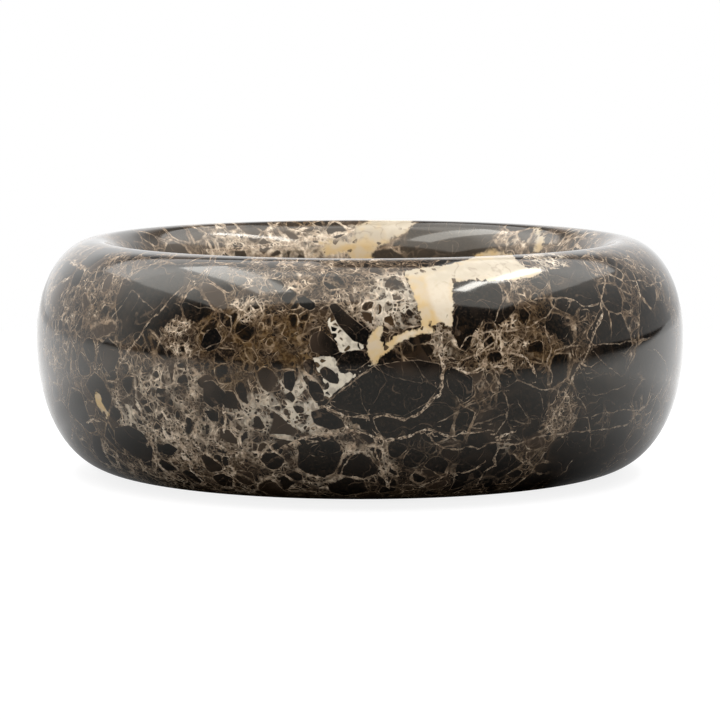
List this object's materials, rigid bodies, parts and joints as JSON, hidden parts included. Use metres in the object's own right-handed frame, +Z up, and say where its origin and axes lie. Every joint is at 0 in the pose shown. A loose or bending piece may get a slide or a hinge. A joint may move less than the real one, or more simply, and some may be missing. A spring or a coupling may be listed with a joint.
{
  "type": "marble bowl",
  "caption": "Round, low bowl turned from one block of dark veined marble, with a thick rolled lip and a flat foot, standing on small felt discs.",
  "frame": {"origin": "on the table, under the middle of the bowl: the bottom of the box round the whole part", "axes": "+Z up along the axis that the bowl was turned on; -Y is the side that the picture shows, and +X is to its right"},
  "size_m": [0.254, 0.254, 0.0918],
  "materials": {
    "marble": "polished, dark brown breccia with tan veins and a cream band",
    "felt": "matt pressed felt"
  },
  "bodies": {
    "root": {"bowl": "marble", "felt_disc_1": "felt", "felt_disc_2": "felt", "felt_disc_3": "felt", "felt_disc_4": "felt"}
  },
  "joints": []
}
